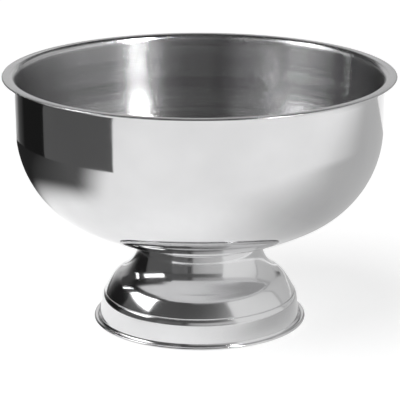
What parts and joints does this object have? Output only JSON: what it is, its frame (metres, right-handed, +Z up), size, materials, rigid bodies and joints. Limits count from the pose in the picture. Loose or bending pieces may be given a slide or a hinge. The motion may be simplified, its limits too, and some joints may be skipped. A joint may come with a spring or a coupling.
{
  "type": "punch bowl",
  "caption": "Polished steel punch bowl: round upright-sided bowl with an out-turned lip, on a waisted pedestal foot with a creased skirt and a ring edge.",
  "frame": {"origin": "on the bowl's axis, in the plane that the foot stands on", "axes": "+Z up along the bowl's axis, out of its mouth; X and Y level, and the bowl is the same all round"},
  "size_m": [0.4, 0.4, 0.26],
  "materials": {
    "bowl_steel": "stainless steel, mirror polished outside, satin with fine rings inside",
    "foot_steel": "stainless steel, mirror polished",
    "fixing_steel": "plain steel, dull"
  },
  "bodies": {
    "root": {"bowl_shell": "bowl_steel", "foot_shell": "foot_steel", "base_ring": "foot_steel", "stud_plate": "fixing_steel", "fixing_stud": "fixing_steel", "clamp_plate": "fixing_steel", "flat_washer": "fixing_steel", "lock_washer": "fixing_steel", "fixing_nut": "fixing_steel"}
  },
  "joints": []
}
